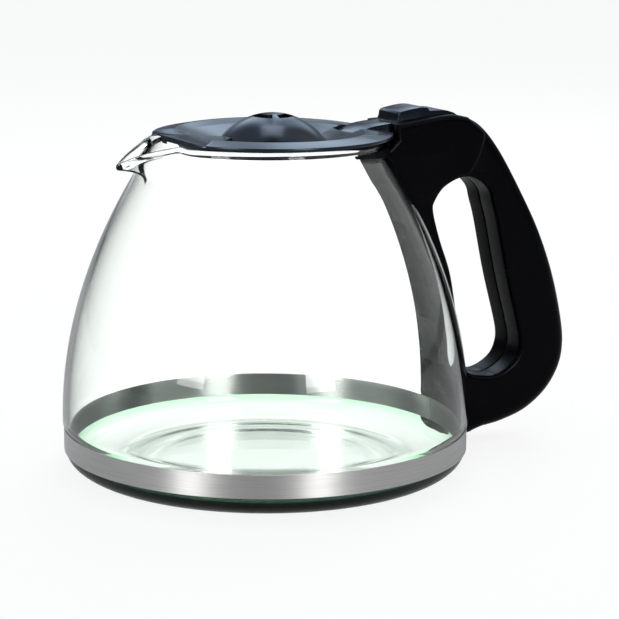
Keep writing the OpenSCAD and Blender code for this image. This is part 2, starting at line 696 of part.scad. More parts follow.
module thumb_lever() {
    corner_r = 3;
    color([0.1, 0.11, 0.12]) difference() {
        intersection() {
            union() {
                side_plate(-lever_half_w, lever_half_w) lever_side();
                cross_bar(pivot_x, pivot_z, barrel_r, -lever_half_w, lever_half_w);
            }
            union() {
                translate([arm_in_x + corner_r, -lever_half_w, 0]) cube([2 * hinge_out + lid_r, 2 * lever_half_w, 2 * crown_z]);
                for (side = [-1, 1])
                    translate([arm_in_x + corner_r, side * (lever_half_w - corner_r), 0])
                        cylinder(r = corner_r, h = 2 * crown_z);
                translate([arm_in_x, corner_r - lever_half_w, 0])
                    cube([2 * corner_r, 2 * (lever_half_w - corner_r), 2 * crown_z]);
            }
        }
        cross_bar(pivot_x, pivot_z, pin_r + pin_gap, -lever_half_w - over, lever_half_w + over);
        for (side = [-1, 1])
            translate([lever_screw_x, side * lever_screw_y, arm_low_z - over])
                cylinder(r = lever_screw_r + pin_gap, h = over + screw_in + fit_gap);
    }
}

// Two screws from below that hold the lever to the lid
screw_in = 1.6;

module lever_screws() {
    seat_z = channel_z - lid_t;
    head_low = 1.4;
    color([0.6, 0.6, 0.62]) for (side = [-1, 1])
        translate([lever_screw_x, side * lever_screw_y, seat_z]) {
            cylinder(r = lever_screw_r, h = lid_t + screw_in);
            difference() {
                translate([0, 0, -head_low]) cylinder(r = 1.8 * lever_screw_r, h = head_low);
                for (turn = [0, 90])
                    translate([0, 0, -head_low]) rotate([0, 0, turn])
                        cube([2.2 * lever_screw_r, drive_w, head_low], center = true);
            }
        }
}

glass_jug();
base_band();
band_screw();
band_washer();
band_nut();
handle_half_left();
handle_half_right();
handle_screws();
neck_clip();
upper_cushion();
lower_cushion();
hinge_pin();
lid_plate();
lid_dome();
drip_guide();
thumb_lever();
lever_screws();
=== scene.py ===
"""Looks of the coffee server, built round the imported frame. Lengths are in mm until a mesh is made."""

import json
import math

import bmesh
import bpy
from mathutils import Matrix, Vector
from mathutils.geometry import tessellate_polygon


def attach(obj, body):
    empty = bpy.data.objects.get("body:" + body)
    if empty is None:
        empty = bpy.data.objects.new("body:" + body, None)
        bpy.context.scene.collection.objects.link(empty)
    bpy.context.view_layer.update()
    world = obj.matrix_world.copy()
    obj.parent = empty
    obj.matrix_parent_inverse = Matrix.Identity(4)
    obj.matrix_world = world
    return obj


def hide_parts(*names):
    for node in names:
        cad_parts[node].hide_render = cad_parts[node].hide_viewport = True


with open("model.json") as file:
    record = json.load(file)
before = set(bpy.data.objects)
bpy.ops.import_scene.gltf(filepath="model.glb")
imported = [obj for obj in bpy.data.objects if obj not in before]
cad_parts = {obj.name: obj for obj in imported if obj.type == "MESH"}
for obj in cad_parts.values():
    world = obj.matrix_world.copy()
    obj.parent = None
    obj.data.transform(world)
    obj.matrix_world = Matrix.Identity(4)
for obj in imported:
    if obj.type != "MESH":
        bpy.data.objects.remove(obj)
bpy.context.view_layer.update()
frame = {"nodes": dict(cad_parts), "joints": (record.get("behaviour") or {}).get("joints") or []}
MM = 0.001
FIT_GAP = 0.15

# Jug: outer wall, thickness at the belly and at the neck, bottom, the band's groove and the rim's bead
BELLY_R = 80.45
BELLY_Z = 21.5
NECK_R = 44.5
NECK_Z = 129.5
JOIN_Z = NECK_Z - 13.5
GLASS_T = 2.5
NECK_GLASS_T = 1.6
BOTTOM_T = 3.2
BOTTOM_R = 62.0
GROOVE_R = 79.35
GROOVE_RAMP = 1.5
BEAD_R = 1.4
BEAD_CENTRE_R = 44.6
BEAD_Z = NECK_Z + BEAD_R
RIM_Z = BEAD_Z + BEAD_R
# Two low rings on the inner bottom: their height, and the radius that they reach in to
RIPPLE_H = 0.35
RIPPLE_IN_R = 40.0
# Azimuths of the jug's mesh: fine steps in degrees to both sides of the spout, coarse ones round the rest
FINE_ANGLE = 25
FINE_STEP = 0.5
COARSE_STEPS = 248

# Spout: reach and drop of its tip, their spread in degrees, and the low shoulders beside it
SPOUT_REACH = 17.9
SPOUT_DROP = 6.35
LIP_SPREAD = 10.4
LIP_DROP_SPREAD = 6.6
LIP_POWER = 1.13
SHOULDER_ANGLE = 18.0
SHOULDER_SPREAD = 5.0
SHOULDER_IN = 0.6
SHOULDER_UP = 0.77
# Power that sets how soon the rim takes the spout's form as the lip moves out
SPOUT_EASE = 0.7
# Round the rim and at the spout: the angle that the bead ends at, and where the inner wall starts below it,
# in bead radii from the bead's centre
BEAD_ENDS = (198, 188)
INNER_STARTS = (Vector((-1.45, -1.25)), Vector((-1.25, -0.55)))
# How the wall leaves the spout's lip: inwards and down, as shares of the neck's curve
SPOUT_IN = 1.6
SPOUT_DOWN = 0.2
# Steps of the jug's section: wall below the neck, then outer wall, bead and inner wall of the neck
WALL_STEPS = 40
OUTER_STEPS = 14
BEAD_STEPS = 14
INNER_STEPS = 12

# Band
BAND_Z = 9.5
BAND_W = 9.0

# Lid
LID_SHIFT = 2.65
LID_R = 47.0
LID_UNDER_Z = RIM_Z + 0.3
EDGE_Z = LID_UNDER_Z + 1.3
CREST_R = 39.0
CREST_Z = 135.35
CHANNEL_Z = 130.5
CHANNEL_R = 34.2
CHANNEL_D = CREST_Z - CHANNEL_Z
LID_T = 2.0
BREW_HOLE_R = 17.0
TONGUE_ANGLE = 31.0
TONGUE_Z = LID_UNDER_Z + 0.676
TONGUE_APEX_IN = 19.13
TONGUE_APEX_W = 2.5
NOTCH_IN = 39.65
NOTCH_HALF_W = 20.5
NOTCH_CORNER_R = 5.0
SKIRT_R = 40.5
SKIRT_T = 1.6
SKIRT_H = 2.8
SKIRT_TOP_Z = LID_UNDER_Z + 0.5
# Where the crest starts to sink towards the hinge, and how steeply
SINK_X = 24.0
SINK_ANGLE = 4.5

# Dome and the seat that it stands on
DOME_R = 26.0
DOME_RISE = 11.3
DOME_FOOT_R = 21.4
DOME_GAP = 0.05

# Hinge and lever
PIVOT = Vector(frame["joints"][0]["pos_m"]) / MM
LEVER_HALF_W = 7.8
LEVER_CORNER_R = 3.0
BARREL_R = 4.2
PIN_HOLE_R = 1.8
TAIL_R = 18.8
SWING_GAP = 0.6
SWING_R = TAIL_R + SWING_GAP
SLOT_HALF_W = LEVER_HALF_W + 0.7
SLOT_DOWN = 3.5
# Degrees below the pivot where the tail's slot in the handle starts, and above it where the tab's room ends
SLOT_ANGLE = 78
TAB_ROOM_ANGLE = 16
HINGE_OUT = 21.5
TAB_RISE = 10.3
TAB_LEN = 14.0
TAB_FRONT_X = PIVOT.x - 0.52 * HINGE_OUT
ARM_LAP = 2.7
ARM_IN_X = LID_SHIFT + CHANNEL_R - ARM_LAP
ARM_LOW_Z = CHANNEL_Z + 0.05
ARM_STEP_X = LID_SHIFT + CREST_R - 0.67 * ARM_LAP
ARM_OVER_Z = LID_UNDER_Z + 0.05
POCKET_GAP = 0.3
LEVER_SCREW = (LID_SHIFT + CHANNEL_R - 0.65, 0.5 * LEVER_HALF_W)
LEVER_SCREW_HOLE_R = 1.25
# Heights below and above the lid that its upright cutters reach to
CUT_LOW = 100
CUT_HIGH = 160
HOLE_CUT_HIGH = 140

# Handle
GRIP_REACH = 57.05
CROWN_OVER = 7.5
CROWN_Z = PIVOT.z + CROWN_OVER
GRIP_HALF_W = 10.6
BLOCK_HALF_W = 12.0
BLOCK_LOW_Z = 0.737 * CROWN_Z
BLOCK_TAPER_H = 9.0
STRAP_GAP = 1.3
COLLAR_H = 4.8
COLLAR_LOW_Z = NECK_Z - 0.39 - COLLAR_H - FIT_GAP
COLLAR_OUT = 2.35
LID_ROOM_R = NECK_R + 2.8
GRIP_ROUND = 5.6
BLOCK_ROUND = 2.4
HOLE_ROUND = 2.0
PARTING_D = 0.7
FRONT_IN = 1.5
# Screws in the handle: seats of their heads, room for the heads, the washer and the nut
SEAT_Y = 6.0
HEAD_ROOM_R = 3.53
WASHER_ROOM_R = 4.5
NUT_W = 7.0
NUT_T = 3.2
NUT_Y = -0.83 * SEAT_Y
FOOT_SCREW = (BELLY_R + 0.27 * GRIP_REACH, BAND_Z + BAND_W / 2)
CLIP_SCREW = (NECK_R + 0.745 * 0.77 * HINGE_OUT, NECK_Z - 1.71 * COLLAR_H)
TAP_SCREW_SHARES = [(0.240, 0.865), (0.668, 0.155)]


def mix(a, b, t):
    """From a at t = 0 to b at t = 1."""
    return a + (b - a) * t


def ease(t):
    """A smooth step from 0 to 1."""
    t = min(max(t, 0.0), 1.0)
    return t * t * (3 - 2 * t)


def glass_r(z):
    """Outer radius of the glass at height z."""
    return BELLY_R - (BELLY_R - NECK_R) * ((z - BELLY_Z) / (NECK_Z - BELLY_Z)) ** 2


def glass_slope(z):
    """How fast that radius changes with height."""
    return -2 * (BELLY_R - NECK_R) * (z - BELLY_Z) / (NECK_Z - BELLY_Z) ** 2


def wall_across(z):
    """Horizontal thickness of the leaning wall at height z."""
    thickness = mix(GLASS_T, NECK_GLASS_T, ease((z - BELLY_Z) / (NECK_Z - BELLY_Z)))
    return thickness * math.hypot(1, glass_slope(z))


def bezier(a, b, c, d, t):
    """Point of a cubic curve from a to d with handles b and c."""
    s = 1 - t
    return a * s ** 3 + b * 3 * t * s ** 2 + c * 3 * t * t * s + d * t ** 3


def smooth_point(a, b, c, d, t):
    """Point of a smooth curve between b and c, with neighbours a and d."""
    return (b * 2 + (c - a) * t + (a * 2 - b * 5 + c * 4 - d) * t * t + (b * 3 - a - c * 3 + d) * t ** 3) / 2


def open_curve(p, steps):
    """A smooth curve through points, from the first to the last."""
    last = len(p) - 1
    points = [smooth_point(p[max(i - 1, 0)], p[i], p[i + 1], p[min(i + 2, last)], k / steps)
              for i in range(last) for k in range(steps)]
    return points + [p[last]]


def closed_curve(p, steps):
    """A smooth closed curve through points."""
    n = len(p)
    return [smooth_point(p[i - 1], p[i], p[(i + 1) % n], p[(i + 2) % n], k / steps)
            for i in range(n) for k in range(steps)]


def inset(p, d):
    """An anticlockwise outline moved inwards by d, with the reach of sharp corners limited."""
    moved = []
    for i, b in enumerate(p):
        u = (b - p[i - 1]).normalized()
        v = (p[(i + 1) % len(p)] - b).normalized()
        m = Vector((-u.y - v.y, u.x + v.x)).normalized()
        moved.append(b + m * (d / max(m.dot(Vector((-u.y, u.x))), 0.6)))
    return moved


def arc(centre, radius, start, end, steps):
    """Points of a round stretch, its angles in degrees."""
    turns = [math.radians(mix(start, end, i / steps)) for i in range(steps + 1)]
    return [Vector((centre[0] + radius * math.cos(t), centre[1] + radius * math.sin(t))) for t in turns]


def rounded(points, radii, steps=5):
    """A closed outline with round corners. A radius of 0 leaves a corner sharp."""
    out = []
    for i, (p, r) in enumerate(zip(points, radii)):
        if not r:
            out.append(p)
            continue
        u = (points[i - 1] - p).normalized()
        v = (points[(i + 1) % len(points)] - p).normalized()
        half = u.angle(v) / 2
        reach = r / math.tan(half)
        centre = p + (u + v).normalized() * (r / math.sin(half))
        start = p + u * reach - centre
        turn = start.angle_signed(p + v * reach - centre)
        for k in range(steps + 1):
            a = -turn * k / steps
            out.append(centre + Vector((start.x * math.cos(a) - start.y * math.sin(a),
                                        start.x * math.sin(a) + start.y * math.cos(a))))
    return out


def grid_faces(rows, cols, close_rows, close_cols):
    """Quads over a grid of points stored row by row."""
    last_row = rows if close_rows else rows - 1
    last_col = cols if close_cols else cols - 1
    return [(i * cols + j, i * cols + (j + 1) % cols, (i + 1) % rows * cols + (j + 1) % cols,
             (i + 1) % rows * cols + j) for i in range(last_row) for j in range(last_col)]


def dress(piece, body, material, replaces, smooth_angle):
    """Gives a new piece its material, its shading and its place in the frame."""
    piece.data.materials.clear()
    piece.data.materials.append(material)
    piece.data.shade_smooth()
    piece.data.set_sharp_from_angle(angle=math.radians(smooth_angle))
    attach(piece, body)
    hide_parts(*replaces)


def use_modifier(piece, kind, **settings):
    """Adds a modifier and applies it at once."""
    modifier = piece.modifiers.new(kind.lower(), kind)
    for key, value in settings.items():
        setattr(modifier, key, value)
    bpy.context.view_layer.update()
    graph = bpy.context.evaluated_depsgraph_get()
    mesh = bpy.data.meshes.new_from_object(piece.evaluated_get(graph))
    piece.modifiers.clear()
    piece.data = mesh


def cut(piece, cutters, operation="DIFFERENCE"):
    """Takes the cutters away from the piece, or joins them to it, and deletes them."""
    for cutter in cutters:
        use_modifier(piece, "BOOLEAN", operation=operation, object=cutter, solver="EXACT")
        bpy.data.objects.remove(cutter)


def clean(piece):
    """Joins points that coincide and drops faces with no area."""
    bm = bmesh.new()
    bm.from_mesh(piece.data)
    bmesh.ops.remove_doubles(bm, verts=bm.verts, dist=0.004 * MM)
    bmesh.ops.dissolve_degenerate(bm, edges=bm.edges, dist=0.002 * MM)
    bm.to_mesh(piece.data)
    bm.free()


def soften(piece, width, segments, angle=32):
    """Rounds the sharp edges of a finished piece, width in millimetres."""
    clean(piece)
    use_modifier(piece, "BEVEL", width=width * MM, segments=segments, limit_method="ANGLE",
                 angle_limit=math.radians(angle), harden_normals=False, miter_outer="MITER_ARC")


def solid(name, points, faces):
    """A plain closed mesh, with its faces turned outwards."""
    bm = bmesh.new()
    verts = [bm.verts.new(Vector(p) * MM) for p in points]
    for face in faces:
        bm.faces.new([verts[i] for i in face])
    bmesh.ops.recalc_face_normals(bm, faces=bm.faces)
    mesh = bpy.data.meshes.new(name)
    bm.to_mesh(mesh)
    bm.free()
    piece = bpy.data.objects.new(name, mesh)
    bpy.context.scene.collection.objects.link(piece)
    return piece


def prism(name, outline, low, high, axis="Z"):
    """A plain prism over an outline. Along Z the outline is in x and y, along Y it is in x and z."""
    n = len(outline)
    if axis == "Z":
        points = [(q[0], q[1], h) for h in (low, high) for q in outline]
    else:
        points = [(q[0], h, q[1]) for h in (low, high) for q in outline]
    faces = grid_faces(2, n, False, True) + [tuple(range(n)), tuple(range(n, 2 * n))]
    return solid(name, points, faces)


def drum(name, x, y, radius, low, high, steps=64):
    """An upright round bar."""
    return prism(name, arc((x, y), radius, 0, 360, steps)[:-1], low, high)


def cross_drum(name, place, radius, low, high, steps=64):
    """A round bar along Y, its place given in x and z."""
    return prism(name, arc(place, radius, 0, 360, steps)[:-1], low, high, "Y")


def turned_points(section, steps, centre):
    """A section of radius and height, turned step by step about a vertical axis."""
    points = []
    for i in range(steps):
        turn = 2 * math.pi * i / steps
        points += [(centre + q[0] * math.cos(turn), q[0] * math.sin(turn), q[1]) for q in section]
    return points


def turned_solid(name, section, steps, centre=0.0):
    """A turned section whose first and last points lie on the axis."""
    ring = section[1:-1]
    points = [(centre, 0, section[0][1]), (centre, 0, section[-1][1])] + turned_points(ring, steps, centre)
    n = len(ring)
    faces = []
    for i in range(steps):
        a = 2 + i * n
        b = 2 + (i + 1) % steps * n
        faces += [(a + j, b + j, b + j + 1, a + j + 1) for j in range(n - 1)]
        faces += [(0, b, a), (1, a + n - 1, b + n - 1)]
    return solid(name, points, faces)


def turned_ring(name, section, steps, centre=0.0):
    """A closed section, clear of the axis, turned all the way round."""
    return solid(name, turned_points(section, steps, centre), grid_faces(steps, len(section), True, True))


def map_range(nodes, from_min, from_max, to_min=0.0, to_max=1.0):
    """A node that spreads one range of values over another."""
    spread = nodes.new("ShaderNodeMapRange")
    limits = {"From Min": from_min, "From Max": from_max, "To Min": to_min, "To Max": to_max}
    for name, value in limits.items():
        spread.inputs[name].default_value = value
    return spread


class Shader:
    """A small helper that builds a node material."""

    def __init__(self, name, **values):
        self.material = bpy.data.materials.new(name)
        self.material.use_nodes = True
        self.tree = self.material.node_tree
        self.surface = self.tree.nodes["Principled BSDF"]
        for key, value in values.items():
            self.surface.inputs[key.replace("_", " ")].default_value = value
        self.place = self.node("ShaderNodeTexCoord").outputs["Object"]

    def node(self, kind, **values):
        """A new node with its inputs or settings given by name."""
        made = self.tree.nodes.new(kind)
        for key, value in values.items():
            if key in made.inputs.keys():
                made.inputs[key].default_value = value
            else:
                setattr(made, key, value)
        return made

    def link(self, source, target):
        """Joins an output to an input."""
        self.tree.links.new(source, target)

    def noise(self, scale, detail, stretch=(1, 1, 1)):
        """A noise value over the object, finer where stretch is larger."""
        mapping = self.node("ShaderNodeMapping", Scale=stretch)
        noise = self.node("ShaderNodeTexNoise", Scale=scale, Detail=detail)
        self.link(self.place, mapping.inputs["Vector"])
        self.link(mapping.outputs["Vector"], noise.inputs["Vector"])
        return noise.outputs["Fac"]

    def spread(self, value, low=0.0, high=1.0):
        """The middle of a noise value's range, spread between two numbers."""
        spread = map_range(self.tree.nodes, 0.3, 0.7, low, high)
        self.link(value, spread.inputs["Value"])
        return spread.outputs["Result"]

    def blend(self, share, low, high):
        """A colour between two others."""
        blend = self.node("ShaderNodeMix", data_type="RGBA")
        blend.inputs["A"].default_value = (*low, 1)
        blend.inputs["B"].default_value = (*high, 1)
        self.link(share, blend.inputs["Factor"])
        return blend

    def roughness(self, value, low, high):
        """Spreads a noise value between two numbers into the roughness."""
        self.link(self.spread(value, low, high), self.surface.inputs["Roughness"])

    def colour(self, value, low, high):
        """Spreads a noise value between two colours into the base colour."""
        blend = self.blend(self.spread(value), low, high)
        self.link(blend.outputs["Result"], self.surface.inputs["Base Color"])

    def bump(self, value, strength, distance):
        """Adds a bump from a noise value. Distance is in metres."""
        bump = self.node("ShaderNodeBump", Strength=strength, Distance=distance)
        self.link(value, bump.inputs["Height"])
        earlier = self.surface.inputs["Normal"].links
        if earlier:
            self.link(earlier[0].from_socket, bump.inputs["Normal"])
        self.link(bump.outputs["Normal"], self.surface.inputs["Normal"])


GLASS_IOR = 1.43


def clear_glass():
    """Clear glass: a slow waviness from blowing, and green that shows only along thick paths."""
    shader = Shader("clear_glass", Roughness=0.0, IOR=GLASS_IOR, Transmission_Weight=1.0)
    shader.surface.inputs["Base Color"].default_value = (1.0, 1.0, 1.0, 1)
    shader.bump(shader.noise(22, 1.0, (1, 1, 2.2)), 0.03, 0.002)
    absorb = shader.node("ShaderNodeVolumeAbsorption")
    absorb.inputs["Color"].default_value = (0.74, 0.95, 0.80, 1)
    absorb.inputs["Density"].default_value = 45.0
    output = shader.tree.nodes["Material Output"]
    shader.link(absorb.outputs["Volume"], output.inputs["Volume"])
    return shader.material


def bottom_green_and_painted_shadow():
    """The jug's flat underside: the grey-green cast on the light that passes it is partly the glass's green
    and partly painted shadow, darkening the floor seen through it as if shaded by the jug.
    """
    shader = Shader("bottom_green_and_painted_shadow", Roughness=0.0, IOR=GLASS_IOR, Transmission_Weight=1.0)
    # The glass's green together with painted shadow: the floor seen through here comes out darker
    shader.colour(shader.noise(30, 2.0), (0.74, 0.85, 0.78), (0.80, 0.90, 0.84))
    return shader.material


def painted_shade_foot_glass():
    """The jug's rounded foot, with painted shade: on its outside a near-black green is painted above its
    lower edge, fading to pale green below it, and its reflections are dimmed.
    """
    shader = Shader("painted_shade_foot_glass", Roughness=0.0, IOR=GLASS_IOR, Transmission_Weight=1.0)
    # Grey tint that dims the foot's reflections, part of its painted shade
    shader.surface.inputs["Specular Tint"].default_value = (0.25, 0.25, 0.25, 1)
    side = shader.node("ShaderNodeNewGeometry")
    split = shader.node("ShaderNodeSeparateXYZ")
    rise = map_range(shader.tree.nodes, 1.4 * MM, 4.4 * MM)
    # Painted shade: nearly black above the foot's lower edge, pale green low down. Inside faces stay white
    shade = shader.blend(rise.outputs["Result"], (0.50, 0.80, 0.60), (0.0015, 0.006, 0.003))
    two_sided = shader.blend(side.outputs["Backfacing"], (1, 1, 1), (1, 1, 1))
    shader.link(shader.place, split.inputs["Vector"])
    shader.link(split.outputs["Z"], rise.inputs["Value"])
    shader.link(shade.outputs["Result"], two_sided.inputs["A"])
    shader.link(two_sided.outputs["Result"], shader.surface.inputs["Base Color"])
    return shader.material


def brushed_band():
    """Steel brushed round the band: fine lines along its length, with slow changes of tone."""
    shader = Shader("brushed_band", Metallic=1.0, Anisotropic=0.85, Anisotropic_Rotation=0.25)
    around = shader.node("ShaderNodeTangent", direction_type="RADIAL", axis="Z")
    shader.link(around.outputs["Tangent"], shader.surface.inputs["Tangent"])
    lines = shader.noise(900, 4.0, (0.06, 0.06, 3.0))
    shader.colour(lines, (0.60, 0.59, 0.585), (0.70, 0.69, 0.68))
    shader.roughness(shader.noise(30, 2.0, (1, 1, 0.4)), 0.34, 0.40)
    shader.bump(lines, 0.12, 0.00004)
    return shader.material


def black_plastic(name, tone, rough_low, rough_high, grain, gloss):
    """Moulded black plastic: a fine grain, soft flow marks and slightly uneven gloss."""
    shader = Shader(name, IOR=1.5, Specular_IOR_Level=gloss)
    slow = shader.noise(45, 2.0)
    shader.colour(slow, tone, tuple(c * 1.5 for c in tone))
    shader.roughness(slow, rough_low, rough_high)
    shader.bump(shader.noise(2600, 2.0), grain, 0.00004)
    shader.bump(shader.noise(60, 1.0), 0.04, 0.0006)
    return shader.material


def zinc_steel():
    """Plated screws and pin: small cloudy patches over a fine turned grain."""
    shader = Shader("zinc_steel", Metallic=1.0)
    cloud = shader.noise(400, 3.0)
    shader.colour(cloud, (0.42, 0.42, 0.44), (0.60, 0.60, 0.60))
    shader.roughness(cloud, 0.28, 0.45)
    shader.bump(shader.noise(3000, 2.0), 0.2, 0.00003)
    return shader.material


def silicone_rubber():
    """Matt silicone of the cushions."""
    shader = Shader("silicone_rubber", IOR=1.42)
    cloud = shader.noise(90, 3.0)
    shader.colour(cloud, (0.035, 0.035, 0.038), (0.055, 0.055, 0.06))
    shader.roughness(cloud, 0.62, 0.75)
    shader.bump(shader.noise(1500, 2.0), 0.25, 0.00006)
    return shader.material


GLASS = clear_glass()
PAINTED_SHADE_FOOT_GLASS = painted_shade_foot_glass()
BOTTOM_GREEN_AND_PAINTED_SHADOW = bottom_green_and_painted_shadow()
BAND = brushed_band()
HANDLE_BLACK = black_plastic("handle_black", (0.0008, 0.0007, 0.0016), 0.24, 0.32, 0.10, 0.06)
LID_BLACK = black_plastic("lid_black", (0.0035, 0.0048, 0.0105), 0.18, 0.24, 0.05, 0.55)
# Blue tint on every reflection of the lid: painted colour of bluish reflected light
LID_BLACK.node_tree.nodes["Principled BSDF"].inputs["Specular Tint"].default_value = (0.62, 0.80, 1.0, 1)
STEEL = zinc_steel()
SILICONE = silicone_rubber()


def shoulder(a):
    """Strength of the shoulders beside the spout, a degrees from it."""
    return math.exp(-((abs(a) - SHOULDER_ANGLE) / SHOULDER_SPREAD) ** 2)


def lip_out(a):
    """How far the lip lies outside the round rim, a degrees from the spout."""
    return SPOUT_REACH * math.exp(-(abs(a) / LIP_SPREAD) ** LIP_POWER) - SHOULDER_IN * shoulder(a)


def lip_up(a):
    """How far the lip lies above the round rim, a degrees from the spout."""
    return SHOULDER_UP * shoulder(a) - SPOUT_DROP * math.exp(-(abs(a) / LIP_DROP_SPREAD) ** LIP_POWER)


def rim_section(a):
    """Outer wall, bead and inner wall above the join, as radius and height, a degrees from the spout."""
    w = (max(lip_out(a), 0.0) / SPOUT_REACH) ** SPOUT_EASE
    centre = Vector((BEAD_CENTRE_R + lip_out(a), BEAD_Z + lip_up(a)))
    third = (NECK_Z - JOIN_Z) / 3
    foot_out = Vector((glass_r(JOIN_Z), JOIN_Z))
    foot_in = Vector((glass_r(JOIN_Z) - wall_across(JOIN_Z), JOIN_Z))
    rise = Vector((glass_slope(JOIN_Z) * third, third))
    rim_drop = Vector((-glass_slope(NECK_Z) * third, -third))
    drop = mix(rim_drop, Vector((-SPOUT_IN * third, -SPOUT_DOWN * third)), w)
    lip_under = centre - Vector((0, BEAD_R))
    lip_inner = centre + mix(*INNER_STARTS, w) * BEAD_R
    outer = [bezier(foot_out, foot_out + rise, lip_under + drop, lip_under, i / OUTER_STEPS)
             for i in range(OUTER_STEPS)]
    bead = arc(centre, BEAD_R, -90, mix(*BEAD_ENDS, w), BEAD_STEPS)
    inner = [bezier(foot_in, foot_in + rise, lip_inner + drop, lip_inner, i / INNER_STEPS)
             for i in range(INNER_STEPS, -1, -1)]
    return outer + bead + inner


def corner_points(reach, low, rise):
    """The rounded corner between the flat bottom and the wall, from the bottom outwards."""
    quarter = [math.radians(6 * i) for i in range(16)]
    return [Vector((BOTTOM_R + reach * math.sin(t), low + rise * (1 - math.cos(t)))) for t in quarter]


def jug_section(a):
    """The jug's section from its flat bottom out, over the rim and back in, a degrees from the spout."""
    wall_z = BAND_Z + BAND_W
    heights = [mix(wall_z + GROOVE_RAMP, JOIN_Z, i / WALL_STEPS) for i in range(WALL_STEPS)]
    outer = [Vector((glass_r(z), z)) for z in heights]
    inner = [Vector((glass_r(z) - wall_across(z), z)) for z in reversed(heights)]
    groove = [Vector((GROOVE_R, mix(BAND_Z, wall_z, i / 4))) for i in range(1, 5)]
    in_corner = corner_points(GROOVE_R - GLASS_T - BOTTOM_R, BOTTOM_T, BAND_Z - BOTTOM_T)
    ripple = [Vector((mix(BOTTOM_R, RIPPLE_IN_R, i / 16),
                      BOTTOM_T + RIPPLE_H * math.sin(math.pi * i / 8) ** 2)) for i in range(1, 17)]
    return (corner_points(GROOVE_R - BOTTOM_R, 0, BAND_Z) + groove + outer + rim_section(a) + inner
            + in_corner[::-1] + ripple)


def build_jug():
    """The glass jug in one mesh. Its foot and its underside have glasses of their own, which carry painted
    shade.
    """
    fine = round(FINE_ANGLE / FINE_STEP)
    azimuths = [i * FINE_STEP for i in range(-fine, fine)]
    azimuths += [FINE_ANGLE + i * (360 - 2 * FINE_ANGLE) / COARSE_STEPS for i in range(COARSE_STEPS)]
    points = []
    for a in azimuths:
        turn = math.radians(180 - a)
        near = a - 360 if a > 180 else a
        points += [(q.x * math.cos(turn), q.x * math.sin(turn), q.y) for q in jug_section(near)]
    cols = len(jug_section(0))
    rows = len(azimuths)
    faces = grid_faces(rows, cols, True, False)
    under = len(points)
    points += [(0, 0, 0), (0, 0, BOTTOM_T)]
    for i in range(rows):
        k = (i + 1) % rows
        faces.append((i * cols, k * cols, under))
        faces.append((i * cols + cols - 1, under + 1, k * cols + cols - 1))
    jug = solid("jug_glass", points, faces)
    dress(jug, "server", GLASS, ["glass_jug"], 50)
    jug.data.materials.append(PAINTED_SHADE_FOOT_GLASS)
    jug.data.materials.append(BOTTOM_GREEN_AND_PAINTED_SHADOW)
    # Downward faces below the band: the foot's get painted shade, the underside's get the glass's green with
    # painted shadow
    for face in jug.data.polygons:
        middle = face.center / MM
        if face.normal.z < 0 and middle.z < BAND_Z:
            face.material_index = 1 if middle.xy.length > BOTTOM_R else 2


# Handle outlines: x as a share of the grip's reach past the belly, z as a share of the crown's height
BACK_SHARES = [(-0.418, 0.984), (-0.218, 0.9935), (-0.043, 0.9986), (0.097, 0.988), (0.246, 0.957),
               (0.406, 0.882), (0.595, 0.757), (0.760, 0.632), (0.884, 0.505), (0.967, 0.379),
               (1, 0.284), (0.967, 0.2065), (0.853, 0.135), (0.670, 0.081), (0.465, 0.0545),
               (0.320, 0.045), (0.194, 0.031)]
FOOT_SHARES = [(0.100, 0.0265), (0.020, 0.0285), (-0.080, 0.045)]
HOLE_SHARES = [(0.062, 0.332), (0.023, 0.448), (-0.024, 0.540), (-0.107, 0.632), (-0.165, 0.716),
               (-0.153, 0.751), (-0.082, 0.790), (0.062, 0.813), (0.204, 0.799), (0.297, 0.765),
               (0.331, 0.722), (0.375, 0.661), (0.463, 0.502), (0.556, 0.365), (0.588, 0.307),
               (0.579, 0.271), (0.539, 0.240), (0.460, 0.217), (0.372, 0.205), (0.273, 0.208),
               (0.150, 0.224), (0.073, 0.274)]
BLOCK_BACK_SHARES = [(0.230, 0.945), (0.240, 0.917), (0.180, 0.852), (0.060, 0.794), (-0.168, 0.737)]
# Front of the block, as shares of the hinge's distance from the neck
BLOCK_FRONT_SHARES = [(0.07, -0.535), (0.144, -0.177), (0.353, 0), (0.307, 0.298)]


def handle_points(shares):
    """Points of the handle's side view in x and z."""
    return [Vector((BELLY_R + s[0] * GRIP_REACH, s[1] * CROWN_Z)) for s in shares]


HANDLE_OUTLINE = (open_curve(handle_points(BACK_SHARES), 6) + handle_points(FOOT_SHARES)
                  + [Vector((NECK_R + 2 * FRONT_IN, 0.86 * CROWN_Z))])[::-1]
HOLE_OUTLINE = closed_curve(handle_points(HOLE_SHARES), 5)[::-1]
BLOCK_FRONT = [Vector((NECK_R + s[0] * HINGE_OUT, NECK_Z + s[1] * HINGE_OUT)) for s in BLOCK_FRONT_SHARES]
BLOCK_OUTLINE = (open_curve(handle_points(BACK_SHARES[:4]), 6)
                 + open_curve(handle_points(BLOCK_BACK_SHARES), 4)
                 + [Vector((glass_r(BLOCK_LOW_Z) - 1, BLOCK_LOW_Z))] + BLOCK_FRONT)[::-1]


def edge_steps(half_w, edge_round, steps=8):
    """Pairs of inset and distance from the middle plane: parting groove, straight side, rounded edge."""
    groove = [(PARTING_D, 0.0), (0.45 * PARTING_D, 0.15 * PARTING_D), (0.12 * PARTING_D, 0.55 * PARTING_D),
              (0.0, PARTING_D)]
    quarter = [math.radians(90 * k / steps) for k in range(steps + 1)]
    edge = [(edge_round * (1 - math.cos(t)), half_w - edge_round * (1 - math.sin(t))) for t in quarter]
    return groove + edge + [(edge_round + 0.5, half_w)]


